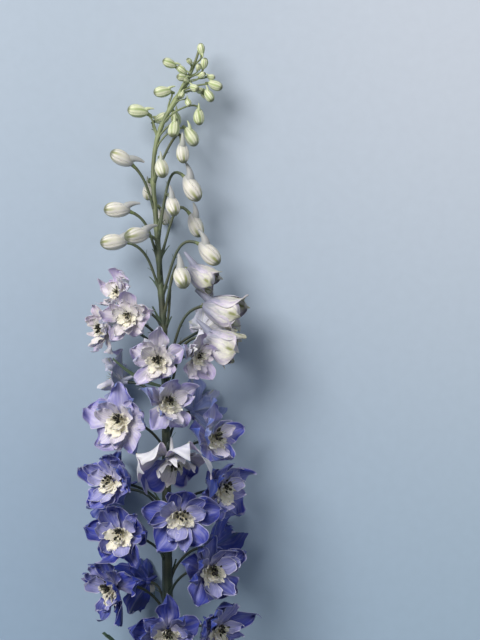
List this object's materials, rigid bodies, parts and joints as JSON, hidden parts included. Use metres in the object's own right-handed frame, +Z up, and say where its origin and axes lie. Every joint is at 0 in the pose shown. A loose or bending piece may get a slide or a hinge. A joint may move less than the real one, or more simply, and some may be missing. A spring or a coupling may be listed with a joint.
{
  "type": "delphinium flower spike",
  "caption": "Cut delphinium spike lying flat: green tip buds, white opening buds and semi-double blue-violet florets with cream eyes on one stem.",
  "frame": {"origin": "on the surface that the spike lies on, under the middle of its bounding box", "axes": "+Y along the stem toward the tip of the spike, +Z up from the surface, +X to the right seen from above with the tip away"},
  "size_m": [0.1444, 0.578, 0.122],
  "materials": {
    "stem": "matte",
    "bud": "satin",
    "petal": "satin",
    "eye": "matte"
  },
  "bodies": {
    "root": {"stem": "stem", "bud_01": "bud", "bud_02": "bud", "bud_03": "bud", "bud_04": "bud", "bud_05": "bud", "bud_06": "bud", "bud_07": "bud", "bud_08": "bud", "bud_09": "bud", "bud_10": "bud", "bud_11": "bud", "bud_12": "bud", "bud_13": "bud", "floret_01": "petal", "floret_02": "petal", "floret_03": "petal", "floret_04": "petal", "floret_05": "petal", "floret_06": "petal", "floret_07": "petal", "floret_08": "petal", "floret_09": "petal", "floret_10": "petal", "floret_11": "petal", "floret_12": "petal", "floret_13": "petal", "floret_14": "petal", "floret_15": "petal", "floret_16": "petal", "floret_17": "petal", "floret_18": "petal", "floret_19": "petal", "floret_20": "petal", "floret_21": "petal", "floret_22": "petal", "floret_23": "petal", "eye_01": "eye", "eye_02": "eye", "eye_03": "eye", "eye_04": "eye", "eye_05": "eye", "eye_06": "eye", "eye_07": "eye", "eye_08": "eye", "eye_09": "eye", "eye_10": "eye", "eye_11": "eye", "eye_12": "eye", "eye_13": "eye", "eye_14": "eye", "eye_15": "eye", "eye_16": "eye", "eye_17": "eye", "eye_18": "eye", "eye_19": "eye", "eye_20": "eye", "eye_21": "eye", "eye_22": "eye", "eye_23": "eye"}
  },
  "joints": []
}
